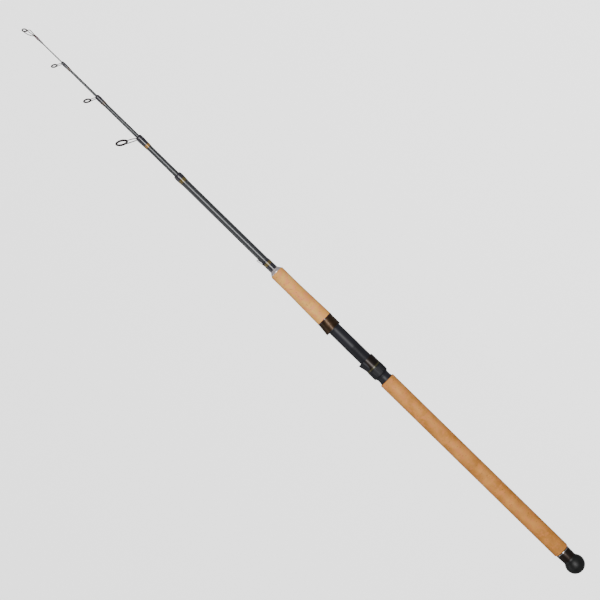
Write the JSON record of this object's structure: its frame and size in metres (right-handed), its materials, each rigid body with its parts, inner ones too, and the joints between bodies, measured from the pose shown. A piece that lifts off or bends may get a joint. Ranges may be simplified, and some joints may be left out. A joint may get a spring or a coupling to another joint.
{
  "type": "telescopic fishing rod",
  "caption": "Telescopic boat fishing rod drawn closed, with cork grips, a screw-hood reel seat, wire line guides and a ball butt cap.",
  "frame": {"origin": "centre of the small flat face on the end of the butt ball, on the rod's axis", "axes": "+X along the rod towards the tip, +Z towards the side with the line guides and the reel's foot, +Y completes the right hand"},
  "size_m": [1.3228, 0.034, 0.0584],
  "materials": {
    "carbon_blank": "clear-coated graphite tube with a fine satin texture",
    "cork": "sanded natural cork with pits and darker specks",
    "arbor_cork": "plain cork",
    "butt_rubber": "smooth black rubber",
    "gunmetal": "dark gunmetal, satin",
    "bright_ring": "polished ring",
    "seat_graphite": "charcoal moulded graphite-filled nylon",
    "bronze_hood": "bronze-brown anodised metal, satin",
    "dark_trim": "very dark maroon gloss",
    "nut_black": "black moulded nylon, fluted",
    "olive_band": "olive gold lacquered metal",
    "black_wrap": "black thread whipping under clear epoxy",
    "gold_thread": "metallic gold thread under clear epoxy",
    "maroon_wrap": "maroon thread whipping under clear epoxy",
    "guide_steel": "gunmetal plated steel wire",
    "guide_ceramic": "dark maroon polished ceramic ring"
  },
  "bodies": {
    "handle": {"butt_blank": "carbon_blank", "stop_plug": "arbor_cork", "butt_ball": "butt_rubber", "butt_collar": "gunmetal", "butt_ring": "bright_ring", "rear_grip": "cork", "seat_trim_ring": "seat_graphite", "seat_barrel": "seat_graphite", "seat_arbors": "arbor_cork", "fixed_hood": "bronze_hood", "fixed_hood_liner": "seat_graphite", "fixed_hood_trim": "dark_trim", "fore_grip": "cork", "winding_check": "gunmetal", "keeper_wrap": "black_wrap", "keeper_band": "gold_thread", "hook_keeper": "guide_steel", "butt_ferrule_wrap": "black_wrap", "butt_ferrule_band": "gold_thread"},
    "moving_hood": {"moving_hood": "seat_graphite", "moving_hood_shell": "bronze_hood"},
    "lock_nut": {"lock_nut": "nut_black", "nut_band": "olive_band"},
    "section_2": {"blank_2": "carbon_blank", "ferrule_2_wrap": "black_wrap", "ferrule_2_band": "gold_thread", "guide_1_frame": "guide_steel", "guide_1_ring": "guide_ceramic"},
    "section_3": {"blank_3": "carbon_blank", "ferrule_3_wrap": "black_wrap", "ferrule_3_band": "gold_thread", "guide_2_frame": "guide_steel", "guide_2_ring": "guide_ceramic"},
    "section_4": {"blank_4": "carbon_blank", "ferrule_4_wrap": "black_wrap", "ferrule_4_band": "gold_thread", "guide_3_frame": "guide_steel", "guide_3_ring": "guide_ceramic"},
    "tip_section": {"tip_blank": "carbon_blank", "tip_wrap": "black_wrap", "tip_top_wrap": "maroon_wrap", "tip_top_frame": "guide_steel", "tip_top_ring": "guide_ceramic"}
  },
  "joints": [
    {"name": "section_2_slide", "type": "slide", "parent": "handle", "child": "section_2", "axis": [1, 0, 0], "range_m": [0, 0.1962]},
    {"name": "section_3_slide", "type": "slide", "parent": "section_2", "child": "section_3", "axis": [1, 0, 0], "range_m": [0, 0.2937]},
    {"name": "section_4_slide", "type": "slide", "parent": "section_3", "child": "section_4", "axis": [1, 0, 0], "range_m": [0, 0.3975]},
    {"name": "tip_slide", "type": "slide", "parent": "section_4", "child": "tip_section", "axis": [1, 0, 0], "range_m": [0, 0.4849]},
    {"name": "hood_slide", "type": "slide", "parent": "handle", "child": "moving_hood", "axis": [1, 0, 0], "range_m": [0, 0.0302]},
    {"name": "nut_spin", "type": "hinge", "parent": "moving_hood", "child": "lock_nut", "pos_m": [0.476, 0, 0], "axis": [1, 0, 0], "range_deg": [0, 5400]}
  ],
  "couplings": [
    {"joint": "hood_slide", "follows": "nut_spin", "m_per_rad": 0.00031831}
  ]
}
